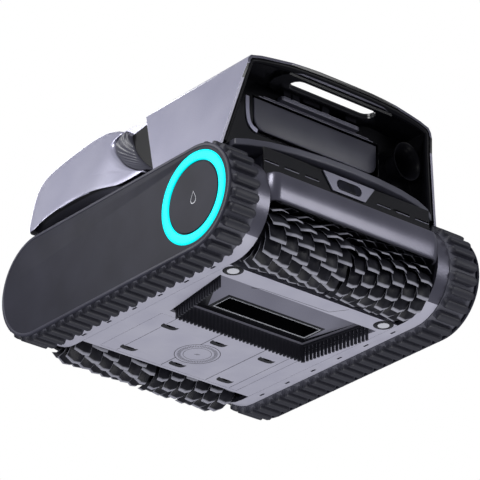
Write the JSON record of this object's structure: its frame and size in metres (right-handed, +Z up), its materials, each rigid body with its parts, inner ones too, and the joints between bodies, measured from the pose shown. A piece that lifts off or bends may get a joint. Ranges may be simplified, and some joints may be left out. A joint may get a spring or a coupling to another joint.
{
  "type": "pool cleaner",
  "caption": "Cordless tracked pool robot: rubber tracks, leaf-bladed scrubbing rollers, floor intake with skirt, hooded front skimmer opening with carry slot, top lid over a filter basket.",
  "frame": {"origin": "centre of the footprint, on the plane under the treads", "axes": "+Z up, -Y the front, X across the tracks"},
  "size_m": [0.43, 0.481, 0.295],
  "materials": {
    "shell_silver": "satin metallic paint",
    "chassis_grey": "satin",
    "cover_charcoal": "satin",
    "frame_grey": "satin",
    "inner_black": "gloss",
    "rubber_black": "matt",
    "ring_cyan": "lit diffuser",
    "lens_dark": "polished",
    "motor_steel": "brushed",
    "part_white": "satin",
    "coil_copper": "enamelled wire"
  },
  "bodies": {
    "hull": {"battery_cover": "chassis_grey", "battery_pack": "inner_black", "bottom_chassis": "chassis_grey", "cavity_liner": "inner_black", "charging_coil": "coil_copper", "control_box": "part_white", "filter_basket": "part_white", "filter_tub": "inner_black", "front_bumper": "frame_grey", "front_chin": "frame_grey", "front_frame": "frame_grey", "intake_funnel": "chassis_grey", "intake_skirt": "rubber_black", "left_drive_motor": "motor_steel", "left_fender": "shell_silver", "left_light_ring": "ring_cyan", "left_scoop_lip": "frame_grey", "left_sensor_cap": "part_white", "left_side_cover": "cover_charcoal", "left_track_belt": "rubber_black", "left_track_frame": "frame_grey", "lid_hinge_pin": "motor_steel", "pump_housing": "inner_black", "pump_motor": "motor_steel", "rear_bumper": "frame_grey", "rear_cover": "part_white", "rear_frame": "frame_grey", "right_drive_motor": "motor_steel", "right_fender": "shell_silver", "right_light_ring": "ring_cyan", "right_scoop_lip": "frame_grey", "right_sensor_cap": "part_white", "right_side_cover": "cover_charcoal", "right_track_belt": "rubber_black", "right_track_frame": "frame_grey", "sensor_bezel": "frame_grey", "sensor_lens": "lens_dark", "upper_shell": "shell_silver", "vent_strip": "inner_black"},
    "front_brush": {"front_brush_shaft": "motor_steel", "front_brush_left": "rubber_black", "front_brush_right": "rubber_black"},
    "rear_brush": {"rear_brush_shaft": "motor_steel", "rear_brush_left": "rubber_black", "rear_brush_right": "rubber_black"},
    "lid": {"top_lid": "shell_silver"},
    "lid_button": {"lid_button": "inner_black"},
    "power_button": {"power_button": "inner_black"},
    "handle_latch": {"handle_latch": "frame_grey"},
    "skimmer_flap": {"skimmer_flap": "frame_grey"},
    "intake_flap": {"intake_flap": "rubber_black"},
    "impeller": {"pump_impeller": "part_white"},
    "left_drive": {"left_drive_wheel": "frame_grey"},
    "left_idler": {"left_idler_wheel": "frame_grey"},
    "left_front_roller": {"left_roller_front": "frame_grey"},
    "left_rear_roller": {"left_roller_rear": "frame_grey"},
    "right_drive": {"right_drive_wheel": "frame_grey"},
    "right_idler": {"right_idler_wheel": "frame_grey"},
    "right_front_roller": {"right_roller_front": "frame_grey"},
    "right_rear_roller": {"right_roller_rear": "frame_grey"}
  },
  "joints": [
    {"name": "front_brush_spin", "type": "hinge", "parent": "hull", "child": "front_brush", "pos_m": [0, -0.191, 0.042], "axis": [1, 0, 0], "continuous": true},
    {"name": "rear_brush_spin", "type": "hinge", "parent": "hull", "child": "rear_brush", "pos_m": [0, 0.197, 0.042], "axis": [1, 0, 0], "continuous": true},
    {"name": "left_drive_spin", "type": "hinge", "parent": "hull", "child": "left_drive", "pos_m": [-0.188, -0.1665, 0.074], "axis": [1, 0, 0], "continuous": true},
    {"name": "left_idler_spin", "type": "hinge", "parent": "hull", "child": "left_idler", "pos_m": [-0.188, 0.1665, 0.074], "axis": [1, 0, 0], "continuous": true},
    {"name": "left_front_roller_spin", "type": "hinge", "parent": "hull", "child": "left_front_roller", "pos_m": [-0.188, -0.048, 0.0233], "axis": [1, 0, 0], "continuous": true},
    {"name": "left_rear_roller_spin", "type": "hinge", "parent": "hull", "child": "left_rear_roller", "pos_m": [-0.188, 0.048, 0.0233], "axis": [1, 0, 0], "continuous": true},
    {"name": "right_drive_spin", "type": "hinge", "parent": "hull", "child": "right_drive", "pos_m": [0.188, -0.1665, 0.074], "axis": [1, 0, 0], "continuous": true},
    {"name": "right_idler_spin", "type": "hinge", "parent": "hull", "child": "right_idler", "pos_m": [0.188, 0.1665, 0.074], "axis": [1, 0, 0], "continuous": true},
    {"name": "right_front_roller_spin", "type": "hinge", "parent": "hull", "child": "right_front_roller", "pos_m": [0.188, -0.048, 0.0233], "axis": [1, 0, 0], "continuous": true},
    {"name": "right_rear_roller_spin", "type": "hinge", "parent": "hull", "child": "right_rear_roller", "pos_m": [0.188, 0.048, 0.0233], "axis": [1, 0, 0], "continuous": true},
    {"name": "lid_hinge", "type": "hinge", "parent": "hull", "child": "lid", "pos_m": [0, 0.1239, 0.2886], "axis": [-1, 0, 0], "range_deg": [0, 65]},
    {"name": "lid_button_press", "type": "slide", "parent": "lid", "child": "lid_button", "axis": [0, 0, -1], "range_m": [0, 0.002], "stiffness_N_per_m": 400},
    {"name": "power_button_press", "type": "slide", "parent": "hull", "child": "power_button", "axis": [0, 0, -1], "range_m": [0, 0.002], "stiffness_N_per_m": 400},
    {"name": "handle_latch_lift", "type": "slide", "parent": "hull", "child": "handle_latch", "axis": [0, 0, 1], "range_m": [0, 0.004], "stiffness_N_per_m": 500, "springref_m": -0.002},
    {"name": "skimmer_flap_hinge", "type": "hinge", "parent": "hull", "child": "skimmer_flap", "pos_m": [0, -0.1585, 0.2585], "axis": [1, 0, 0], "range_deg": [0, 50]},
    {"name": "intake_flap_hinge", "type": "hinge", "parent": "hull", "child": "intake_flap", "pos_m": [0, -0.0405, 0.0628], "axis": [-1, 0, 0], "range_deg": [0, 70]},
    {"name": "impeller_spin", "type": "hinge", "parent": "hull", "child": "impeller", "pos_m": [0, 0.18, 0.17], "axis": [0, 0, 1], "continuous": true}
  ],
  "couplings": [
    {"joint": "left_front_roller_spin", "follows": "left_drive_spin", "ratio": 4.6214},
    {"joint": "left_rear_roller_spin", "follows": "left_drive_spin", "ratio": 4.6214},
    {"joint": "left_idler_spin", "follows": "left_drive_spin", "ratio": 1},
    {"joint": "right_front_roller_spin", "follows": "right_drive_spin", "ratio": 4.6214},
    {"joint": "right_rear_roller_spin", "follows": "right_drive_spin", "ratio": 4.6214},
    {"joint": "right_idler_spin", "follows": "right_drive_spin", "ratio": 1}
  ]
}
